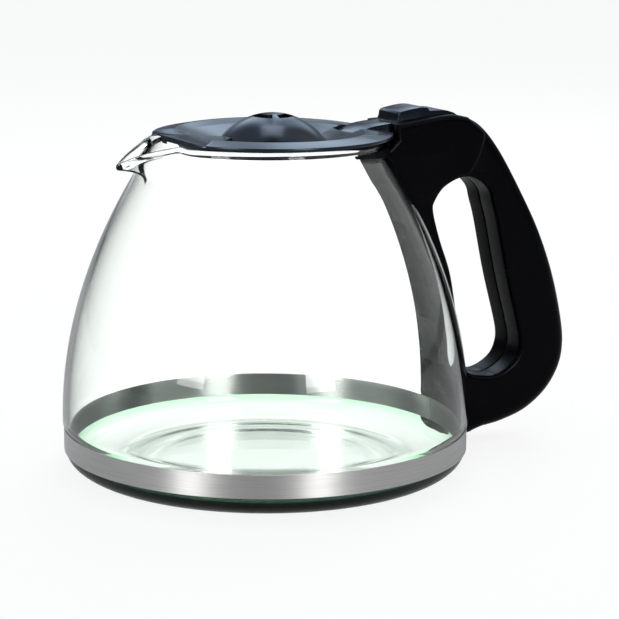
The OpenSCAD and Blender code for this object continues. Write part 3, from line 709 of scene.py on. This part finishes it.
def half_body(name, outline, half_w, edge_round, side, with_hole):
    """One half of the handle, lofted out from the middle plane with its edges rounded."""
    outer = edge_steps(half_w, edge_round)
    loops = [(outline, outer, 1)]
    if with_hole:
        loops.append((HOLE_OUTLINE, edge_steps(half_w, HOLE_ROUND), -1))
    points = []
    faces = []
    starts = []
    for line, steps, sign in loops:
        start = len(points)
        starts.append(start)
        for d, y in steps:
            points += [(q.x, side * y, q.y) for q in inset(line, sign * d)]
        faces += [tuple(i + start for i in face) for face in grid_faces(len(steps), len(line), False, True)]
    for level in (0, len(outer) - 1):
        rims = []
        index = []
        for (line, steps, sign), start in zip(loops, starts):
            first = start + level * len(line)
            index += list(range(first, first + len(line)))
            rims.append([Vector((points[k][0], points[k][2], 0)) for k in range(first, first + len(line))])
        faces += [tuple(index[k] for k in triple) for triple in tessellate_polygon(rims)]
    return solid(name, points, faces)


def hole_cutter(side):
    """The finger hole as a solid, with the block's groove, taper and rounded edge."""
    steps = edge_steps(BLOCK_HALF_W, HOLE_ROUND)
    steps = [(steps[0][0], -3)] + steps[:-1] + [(HOLE_ROUND, BLOCK_HALF_W + 3)]
    points = []
    for d, y in steps:
        for q in inset(HOLE_OUTLINE, -d):
            share = min(max((q.y - BLOCK_LOW_Z) / BLOCK_TAPER_H, 0.0), 1.0)
            narrower = (BLOCK_HALF_W - GRIP_HALF_W) * (1 - share) if y > PARTING_D else 0.0
            points.append((q.x, side * (y - narrower), q.y))
    n = len(HOLE_OUTLINE)
    ends = [tuple(range(n)), tuple(range(len(points) - n, len(points)))]
    return solid("hole", points, grid_faces(len(steps), n, False, True) + ends)


def taper_cutter(side):
    """What the block loses on its side as it narrows towards the strap below it."""
    low = BLOCK_LOW_Z
    high = BLOCK_LOW_Z + BLOCK_TAPER_H
    profile = [(GRIP_HALF_W, low - 4), (GRIP_HALF_W, low), (BLOCK_HALF_W + 0.01, high),
               (BLOCK_HALF_W + 4, high), (BLOCK_HALF_W + 4, low - 4)]
    points = [(x, side * y, z) for x in (40, 90) for y, z in profile]
    sides = [(i, i + 5, (i + 1) % 5 + 5, (i + 1) % 5) for i in range(5)]
    return solid("taper", points, [(0, 1, 2, 3, 4), (9, 8, 7, 6, 5)] + sides)


def inner_cutters():
    """The room that the jug, the neck clip, the lid and the swinging lever take out of both halves."""
    top = RIM_Z + 1
    heights = [mix(BELLY_Z, top, i / WALL_STEPS) for i in range(WALL_STEPS + 1)]
    wall = [(0, -5), (BELLY_R + STRAP_GAP, -5)] + [(glass_r(z) + STRAP_GAP, z) for z in heights] + [(0, top)]
    collar = [(0, COLLAR_LOW_Z), (glass_r(COLLAR_LOW_Z) + COLLAR_OUT, COLLAR_LOW_Z),
              (glass_r(RIM_Z) + COLLAR_OUT, RIM_Z), (0, RIM_Z)]
    lid_low = RIM_Z - 0.5
    lid_high = CROWN_Z + 5
    lid_room = [(0, lid_low), (LID_ROOM_R, lid_low), (LID_ROOM_R, lid_high), (0, lid_high)]
    front = PIVOT.x - 30
    over = PIVOT.z + 30
    slot = [Vector((front, PIVOT.z - SLOT_DOWN)), Vector((PIVOT.x, PIVOT.z - BARREL_R - SWING_GAP))]
    slot += arc((PIVOT.x, PIVOT.z), SWING_R, -SLOT_ANGLE, 90, 48)
    slot += [Vector((PIVOT.x, over)), Vector((front, over))]
    tab_low = PIVOT.z + TAB_RISE / 2
    tab_front = PIVOT.x - 5
    tab_back = PIVOT.x + SWING_R * math.cos(math.radians(TAB_ROOM_ANGLE)) + 1
    tab_room = [Vector(q) for q in ((tab_front, tab_low), (tab_back, tab_low), (tab_back, over),
                                    (tab_front, over))]
    return [turned_solid("wall", wall, 256), turned_solid("collar", collar, 256),
            turned_solid("lid_room", lid_room, 256), prism("slot", slot, -SLOT_HALF_W, SLOT_HALF_W, "Y"),
            prism("tab_room", tab_room, -SLOT_HALF_W, SLOT_HALF_W, "Y")]


def screw_cutters(side):
    """Recesses for the screw heads in the right half, or the nut's slot in the left one."""
    if side > 0:
        seats = [(CLIP_SCREW, HEAD_ROOM_R)] + [(p, HEAD_ROOM_R) for p in handle_points(TAP_SCREW_SHARES)]
        seats.append((FOOT_SCREW, WASHER_ROOM_R))
        return [cross_drum("recess", place, radius, SEAT_Y, 20) for place, radius in seats]
    half = NUT_W / 2 + FIT_GAP
    x = FOOT_SCREW[0]
    high = FOOT_SCREW[1] + half
    slot = [Vector(q) for q in ((x - half, -1), (x + half, -1), (x + half, high), (x - half, high))]
    return [prism("nut_slot", slot, NUT_Y - NUT_T - FIT_GAP, NUT_Y + FIT_GAP, "Y")]


def build_handle_half(name, side, node):
    """One half of the handle: grip and block joined, then cut for all that lies in them."""
    half = half_body(name, HANDLE_OUTLINE, GRIP_HALF_W, GRIP_ROUND, side, True)
    block = half_body("block", BLOCK_OUTLINE, BLOCK_HALF_W, BLOCK_ROUND, side, False)
    cut(block, [hole_cutter(side), taper_cutter(side)])
    cut(half, [block], "UNION")
    cut(half, inner_cutters())
    cut(half, screw_cutters(side))
    soften(half, 0.35, 2)
    dress(half, "server", HANDLE_BLACK, [node], 30)


# Section of the lid from the hole under the dome out and back: radius, height and rounding of each corner
LID_LOW_Z = CHANNEL_Z - LID_T
LID_CORNERS = [(BREW_HOLE_R, LID_LOW_Z, 0), (CHANNEL_R + LID_T, LID_LOW_Z, 0.5),
               (CREST_R - 0.25, LID_UNDER_Z, 0.5), (LID_R, LID_UNDER_Z, 0.35), (LID_R, EDGE_Z, 0.4),
               (CREST_R + 0.3, CREST_Z, 1.2), (CREST_R - 0.75, CREST_Z - 0.1, 0.5),
               (CHANNEL_R, CHANNEL_Z + 3.2, 3.0), (23.0, CHANNEL_Z, 3.0), (BREW_HOLE_R, CHANNEL_Z, 0)]


def tongue_plan(slim=0.0):
    """Plan of the pouring tongue, from the dome out past the lid's edge."""
    reach = LID_R + 2
    turn = math.radians(TONGUE_ANGLE)
    side = reach * math.sin(turn) - slim
    return [Vector((LID_SHIFT + x, y)) for x, y in
            ((-TONGUE_APEX_IN, TONGUE_APEX_W - slim), (-reach * math.cos(turn), side), (-reach - 4, 0),
             (-reach * math.cos(turn), -side), (-TONGUE_APEX_IN, slim - TONGUE_APEX_W))]


def notch_plan():
    """Plan of the pouring notch. The lid's corners beside it are round."""
    r = NOTCH_CORNER_R
    x = LID_SHIFT - NOTCH_IN
    run = [Vector((x, NOTCH_HALF_W))] + arc((x - r / 2, NOTCH_HALF_W + r), r, -90, -180, 10)
    run.append(Vector((-2 * LID_R, NOTCH_HALF_W + r)))
    return run + [Vector((q.x, -q.y)) for q in reversed(run)]


def lid_cutters():
    """Rooms for the tongue, dome, arm and screws, the notch, and a plane that sinks the crest."""
    dome_z = CHANNEL_Z + DOME_RISE - DOME_R
    seat = [(0, CHANNEL_Z + 0.3), (DOME_FOOT_R, CHANNEL_Z + 0.3)]
    seat += [(math.sqrt(max((DOME_R + DOME_GAP) ** 2 - (z - dome_z) ** 2, 0)), z)
             for z in (CHANNEL_Z + 1.5, CHANNEL_Z + 3, CHANNEL_Z + 4.5, CHANNEL_Z + 6)]
    seat.append((0, CHANNEL_Z + 6))
    sink = math.radians(SINK_ANGLE)
    far = 40.0
    plane = [Vector(q) for q in ((SINK_X, CREST_Z),
                                 (SINK_X + far * math.cos(sink), CREST_Z - far * math.sin(sink)),
                                 (SINK_X + far, CREST_Z + 20), (SINK_X, CREST_Z + 20))]
    half = LEVER_HALF_W + POCKET_GAP
    inner = ARM_IN_X - POCKET_GAP
    pocket = [Vector(q) for q in ((inner, -half), (60, -half), (60, half), (inner, half))]
    screw_x, screw_y = LEVER_SCREW
    holes = [drum("screw_hole", screw_x, side * screw_y, LEVER_SCREW_HOLE_R, CUT_LOW, HOLE_CUT_HIGH, 32)
             for side in (-1, 1)]
    return [prism("tongue_room", tongue_plan(), TONGUE_Z, TONGUE_Z + 12),
            turned_solid("dome_seat", seat, 128, LID_SHIFT), prism("notch", notch_plan(), CUT_LOW, CUT_HIGH),
            prism("sink", plane, -60, 60, "Y"),
            prism("pocket", pocket, CHANNEL_Z - 0.02, CHANNEL_Z + 20)] + holes


def build_lid_plate():
    """The lid's disc with its skirt and its pouring tongue."""
    section = rounded([Vector(c[:2]) for c in LID_CORNERS], [c[2] for c in LID_CORNERS])
    plate = turned_ring("lid_plate_shell", section, 256, LID_SHIFT)
    skirt_in = SKIRT_R - SKIRT_T
    skirt_low = SKIRT_TOP_Z - SKIRT_H
    skirt = turned_ring("skirt", [(skirt_in, skirt_low), (SKIRT_R, skirt_low), (SKIRT_R, SKIRT_TOP_Z),
                                  (skirt_in, SKIRT_TOP_Z)], 192)
    edge = LID_SHIFT - NOTCH_IN
    spout_side = [Vector(q) for q in ((-60, -60), (edge, -60), (edge, 60), (-60, 60))]
    cut(skirt, [prism("spout_side", spout_side, CUT_LOW, CUT_HIGH)])
    cut(plate, [skirt], "UNION")
    tongue = prism("tongue", tongue_plan(0.05), TONGUE_Z - LID_T, TONGUE_Z + 0.5)
    cut(tongue, [drum("inside", 0, 0, SKIRT_R - 0.07, CUT_LOW, CUT_HIGH, 180)], "INTERSECT")
    cut(plate, [tongue], "UNION")
    cut(plate, lid_cutters())
    soften(plate, 0.3, 2, 28)
    dress(plate, "lid", LID_BLACK, ["lid_plate"], 30)


# Side view of the lever, as shares of its arm, its tab and its tail
ARM_SHARES = [(0.97, 1.14), (0.83, 1.09), (0.61, 1), (0.395, 0.865), (0.18, 0.59), (0.05, 0.37)]
TAB_SHARES = [(0.965, 1), (0.75, 1.02), (0.5, 0.99), (0.27, 0.94), (0.085, 0.893)]
TAB_FRONT_SHARES = [(0.015, 0.816), (0, 0.65)]
TAIL_SHARES = [(0.55, 0.08), (0.95, 0.21), (0.95, 0.30), (0.78, 0.412), (0.60, 0.465), (0.40, 0.479),
               (0.18, 0.479)]


def tab_points(shares):
    """Points of the thumb tab's side view in x and z."""
    return [Vector((TAB_FRONT_X + t[0] * TAB_LEN, PIVOT.z + t[1] * TAB_RISE)) for t in shares]


def build_lever():
    """Lid arm, thumb tab and hinge barrel in one moulding."""
    tail = [Vector((PIVOT.x + t[0] * TAIL_R, PIVOT.z + t[1] * TAIL_R)) for t in TAIL_SHARES]
    arm = [Vector((mix(ARM_IN_X, TAB_FRONT_X, t[0]), CHANNEL_Z + t[1] * CHANNEL_D)) for t in ARM_SHARES]
    low = [Vector(q) for q in ((ARM_IN_X, CHANNEL_Z + 0.28 * CHANNEL_D), (ARM_IN_X, ARM_LOW_Z),
                               (ARM_STEP_X, ARM_LOW_Z), (ARM_STEP_X + ARM_OVER_Z - ARM_LOW_Z, ARM_OVER_Z),
                               (PIVOT.x - BARREL_R, ARM_OVER_Z), (PIVOT.x, PIVOT.z - 0.6 * BARREL_R),
                               (PIVOT.x + BARREL_R, PIVOT.z - 0.2 * BARREL_R))]
    outline = (low + tail[:3] + open_curve(tail[3:], 4) + tab_points([(1, 0.951)])
               + open_curve(tab_points(TAB_SHARES), 4) + tab_points(TAB_FRONT_SHARES) + open_curve(arm, 4))
    wide = LEVER_HALF_W + 1
    axis = (PIVOT.x, PIVOT.z)
    lever = prism("lever", outline, -wide, wide, "Y")
    cut(lever, [cross_drum("barrel", axis, BARREL_R, -wide, wide)], "UNION")
    r = LEVER_CORNER_R
    plan = [Vector(q) for q in ((ARM_IN_X, -LEVER_HALF_W), (120, -LEVER_HALF_W), (120, LEVER_HALF_W),
                                (ARM_IN_X, LEVER_HALF_W))]
    cut(lever, [prism("plan", rounded(plan, [r, 0, 0, r], 8), CUT_LOW, CUT_HIGH)], "INTERSECT")
    cut(lever, [cross_drum("pin_hole", axis, PIN_HOLE_R, -20, 20)])
    soften(lever, 0.55, 3, 28)
    dress(lever, "lid", LID_BLACK, ["thumb_lever"], 30)


# Camera: distance from the jug's axis, height and turn from -Y, then yaw, pitch down and roll in degrees
CAMERA_DISTANCE = 904.4
CAMERA_HEIGHT = 251.9
VIEW_TURN = 27.5
CAMERA_YAW = 1.09
CAMERA_PITCH = 11.74
CAMERA_ROLL = 0.395
LENS = 136.04


def build_camera():
    """The photograph's camera."""
    turn = math.radians(VIEW_TURN)
    camera = bpy.data.objects.new("camera", bpy.data.cameras.new("camera"))
    camera.data.lens = LENS
    camera.data.sensor_width = 36.0
    camera.data.clip_start = 0.05
    place = Vector((-CAMERA_DISTANCE * math.sin(turn), -CAMERA_DISTANCE * math.cos(turn), CAMERA_HEIGHT)) * MM
    heading = Matrix.Rotation(-math.radians(VIEW_TURN + CAMERA_YAW), 4, "Z")
    tilt = Matrix.Rotation(math.pi / 2 - math.radians(CAMERA_PITCH), 4, "X")
    roll = Matrix.Rotation(math.radians(CAMERA_ROLL), 4, "Z")
    camera.matrix_world = Matrix.Translation(place) @ heading @ tilt @ roll
    bpy.context.scene.collection.objects.link(camera)
    bpy.context.scene.camera = camera


# What gloss sees round the studio: azimuth in degrees and brightness
STUDIO_RING = [(-180, 0.56), (-150, 0.36), (-136, 0.03), (-108, 0.03), (-96, 0.18), (-60, 0.75), (0, 0.80),
               (22, 0.25), (32, 1.6), (40, 1.9), (48, 1.2), (53, 2.3), (57, 2.6), (60.5, 3.0), (62.5, 1.0),
               (67, 0.9), (72, 2.6), (80, 2.6), (90, 0.85), (100, 0.40), (150, 0.65), (180, 0.62)]
STUDIO_PEAK = 3.0
# Low down only this share is left. It rises to the whole between two heights on a sphere of radius 1
STUDIO_LOW = 0.17
STUDIO_RISE = (0.30, 0.43)
STUDIO_TINT = (0.97, 0.985, 1.0)
# Bluer light from the side that the lid's gloss faces, between two azimuths
LID_TINT = (0.74, 0.89, 1.06)
LID_TINT_SIDE = (30, 110)
# The ring that light leaving the jug's glass after a reflection in it sees
GLASS_RING = [(-180, 0.9), (-150, 0.8), (-138, 0.7), (-134, 0.02), (-102, 0.02), (-98, 0.7), (-58, 0.7),
              (0, 0.6), (40, 0.7), (50, 1.0), (76, 1.0), (92, 0.2), (140, 0.2), (160, 0.8), (180, 0.9)]
# How much brighter the white round the object is behind glass, to make up for what the glass takes
GLASS_GAIN = 0.2
# The level of light on matt surfaces
PLAIN_LEVEL = 0.5
# Floor: share of glow in its white, the glow's strength, its share in gloss, and how far it dims in the jug
FLOOR_WHITE = 0.72
FLOOR_GLOW = 1.2
FLOOR_IN_GLOSS = 0.15
FLOOR_DIM = 0.62
FLOOR_HALF_W = 3000
FLOOR_DROP = 0.2
# Lamps: name, azimuth, elevation, distance, size, power, and whether they light surfaces and show in gloss
LAMPS = [("left_box", -159, 24, 1200, (340, 900), 8.6, False, True),
         ("front_box", -87.5, 24, 1200, (350, 900), 9.0, False, True),
         ("top_box", 62, 80, 1200, (520, 520), 2.2, False, True),
         ("key_box", 44, 46.5, 1200, (640, 860), 5.6, True, False),
         ("fill_box", -120, 62, 1400, (900, 700), 2.5, True, False)]
LAMP_AIM_Z = 70


def math_node(nodes, operation, *numbers):
    """A math node, with the numbers in its second and third inputs."""
    node = nodes.new("ShaderNodeMath")
    node.operation = operation
    for place, number in enumerate(numbers, 1):
        node.inputs[place].default_value = number
    return node


def mix_shaders(nodes, links, share, first, second):
    """A blend that shows the first shader at a share of 0 and the second at 1."""
    blend = nodes.new("ShaderNodeMixShader")
    links.new(share, blend.inputs["Fac"])
    links.new(first, blend.inputs[1])
    links.new(second, blend.inputs[2])
    return blend.outputs["Shader"]


def unreflected(nodes, links):
    """Light Path, and a value that is 1 for camera rays and for rays through glass with no reflection."""
    rays = nodes.new("ShaderNodeLightPath")
    seen = math_node(nodes, "MAXIMUM")
    links.new(rays.outputs["Is Camera Ray"], seen.inputs[0])
    links.new(rays.outputs["Is Transmission Ray"], seen.inputs[1])
    straight = math_node(nodes, "LESS_THAN", 0.5)
    links.new(rays.outputs["Glossy Depth"], straight.inputs[0])
    both = math_node(nodes, "MULTIPLY")
    links.new(seen.outputs["Value"], both.inputs[0])
    links.new(straight.outputs["Value"], both.inputs[1])
    return rays, both.outputs["Value"]


def ring_light(nodes, links, turn, levels, peak, side_tint):
    """A background whose brightness follows the azimuth, as a share of the peak."""
    stops = nodes.new("ShaderNodeValToRGB")
    ramp = stops.color_ramp.elements
    while len(ramp) < len(levels):
        ramp.new(0.5)
    for stop, (azimuth, level) in zip(ramp, levels):
        stop.position = (azimuth + 180) / 360
        tint = side_tint if LID_TINT_SIDE[0] < azimuth < LID_TINT_SIDE[1] else STUDIO_TINT
        stop.color = (*(level / peak * share for share in tint), 1)
    background = nodes.new("ShaderNodeBackground")
    links.new(turn, stops.inputs["Fac"])
    links.new(stops.outputs["Color"], background.inputs["Color"])
    return background


def build_world():
    """White for what the camera and glass see, a studio for gloss, and plain light for the rest."""
    world = bpy.data.worlds.new("studio")
    bpy.context.scene.world = world
    world.use_nodes = True
    nodes = world.node_tree.nodes
    links = world.node_tree.links
    plain = nodes["Background"]
    plain.inputs["Color"].default_value = (0.96, 0.98, 1.0, 1)
    plain.inputs["Strength"].default_value = PLAIN_LEVEL
    rays, white = unreflected(nodes, links)
    through = rays.outputs["Is Transmission Ray"]
    gain = math_node(nodes, "MULTIPLY_ADD", GLASS_GAIN, 1.0)
    links.new(through, gain.inputs[0])
    seen = nodes.new("ShaderNodeBackground")
    seen.inputs["Color"].default_value = (1, 1, 1, 1)
    links.new(gain.outputs["Value"], seen.inputs["Strength"])
    place = nodes.new("ShaderNodeTexCoord")
    split = nodes.new("ShaderNodeSeparateXYZ")
    links.new(place.outputs["Generated"], split.inputs["Vector"])
    angle = math_node(nodes, "ARCTAN2")
    links.new(split.outputs["Y"], angle.inputs[0])
    links.new(split.outputs["X"], angle.inputs[1])
    turn = map_range(nodes, -math.pi, math.pi)
    links.new(angle.outputs["Value"], turn.inputs["Value"])
    ring = ring_light(nodes, links, turn.outputs["Result"], STUDIO_RING, STUDIO_PEAK, LID_TINT)
    height = map_range(nodes, *STUDIO_RISE, STUDIO_LOW * STUDIO_PEAK, STUDIO_PEAK)
    links.new(split.outputs["Z"], height.inputs["Value"])
    links.new(height.outputs["Result"], ring.inputs["Strength"])
    glass_ring = ring_light(nodes, links, turn.outputs["Result"], GLASS_RING, 1.0, STUDIO_TINT)
    outer = mix_shaders(nodes, links, rays.outputs["Is Glossy Ray"], plain.outputs[0], ring.outputs[0])
    gloss = mix_shaders(nodes, links, through, outer, glass_ring.outputs[0])
    result = mix_shaders(nodes, links, white, gloss, seen.outputs[0])
    links.new(result, nodes["World Output"].inputs["Surface"])


def build_floor():
    """A pale floor that shows as white and keeps the object's soft shadow. Mirrored in glass it is dimmer."""
    w = FLOOR_HALF_W
    floor = solid("floor", [(-w, -w, 0), (w, -w, 0), (w, w, 0), (-w, w, 0)], [(0, 1, 2, 3)])
    floor.location.z = -FLOOR_DROP * MM
    material = bpy.data.materials.new("pale_floor")
    material.use_nodes = True
    nodes = material.node_tree.nodes
    links = material.node_tree.links
    surface = nodes["Principled BSDF"]
    surface.inputs["Base Color"].default_value = (0.55, 0.56, 0.57, 1)
    surface.inputs["Roughness"].default_value = 0.9
    surface.inputs["Specular IOR Level"].default_value = 0.0
    rays, white = unreflected(nodes, links)
    through = rays.outputs["Is Transmission Ray"]
    gain = math_node(nodes, "MULTIPLY_ADD", GLASS_GAIN * FLOOR_GLOW, FLOOR_GLOW)
    links.new(through, gain.inputs[0])
    glow = nodes.new("ShaderNodeEmission")
    glow.inputs["Color"].default_value = (1, 1, 1, 1)
    links.new(gain.outputs["Value"], glow.inputs["Strength"])
    in_gloss = math_node(nodes, "MULTIPLY", FLOOR_IN_GLOSS)
    links.new(rays.outputs["Is Glossy Ray"], in_gloss.inputs[0])
    share = math_node(nodes, "MULTIPLY_ADD", FLOOR_WHITE)
    links.new(white, share.inputs[0])
    links.new(in_gloss.outputs["Value"], share.inputs[2])
    lit = mix_shaders(nodes, links, share.outputs["Value"], surface.outputs[0], glow.outputs[0])
    mirrored = math_node(nodes, "SUBTRACT")
    mirrored.use_clamp = True
    links.new(through, mirrored.inputs[0])
    links.new(white, mirrored.inputs[1])
    dimmer = math_node(nodes, "MULTIPLY", FLOOR_DIM)
    links.new(mirrored.outputs["Value"], dimmer.inputs[0])
    dark = nodes.new("ShaderNodeEmission")
    dark.inputs["Strength"].default_value = 0.0
    result = mix_shaders(nodes, links, dimmer.outputs["Value"], lit, dark.outputs[0])
    links.new(result, nodes["Material Output"].inputs["Surface"])
    floor.data.materials.append(material)


def soft_light(name, azimuth, elevation, distance, size, power, diffuse, gloss):
    """A large soft lamp that looks at the jug's middle from a direction in degrees."""
    lamp = bpy.data.lights.new(name, "AREA")
    lamp.shape = "RECTANGLE"
    lamp.size = size[0] * MM
    lamp.size_y = size[1] * MM
    lamp.energy = power
    holder = bpy.data.objects.new(name, lamp)
    bpy.context.scene.collection.objects.link(holder)
    turn = math.radians(azimuth)
    rise = math.radians(elevation)
    way = Vector((math.cos(turn) * math.cos(rise), math.sin(turn) * math.cos(rise), math.sin(rise)))
    holder.location = (way * distance + Vector((0, 0, LAMP_AIM_Z))) * MM
    holder.rotation_euler = way.to_track_quat("Z", "Y").to_euler()
    holder.visible_diffuse = diffuse
    holder.visible_glossy = gloss


build_jug()
build_handle_half("handle_left_shell", -1, "handle_half_left")
build_handle_half("handle_right_shell", 1, "handle_half_right")
build_lid_plate()
build_lever()
build_camera()
build_world()
build_floor()
for row in LAMPS:
    soft_light(*row)

# Nodes of the pack that keep their own shape, by material
KEPT_NODES = [(LID_BLACK, ["lid_dome", "drip_guide"]), (HANDLE_BLACK, ["neck_clip"]), (BAND, ["base_band"]),
              (SILICONE, ["upper_cushion", "lower_cushion"]),
              (STEEL, ["band_screw", "band_washer", "band_nut", "handle_screws", "hinge_pin",
                       "lever_screws"])]
for material, names in KEPT_NODES:
    for name in names:
        frame["nodes"][name].data.materials[0] = material

bpy.context.scene.view_settings.view_transform = "Standard"
bpy.context.scene.cycles.max_bounces = 24
bpy.context.scene.cycles.transmission_bounces = 24
bpy.context.scene.cycles.transparent_max_bounces = 16
bpy.context.view_layer.update()
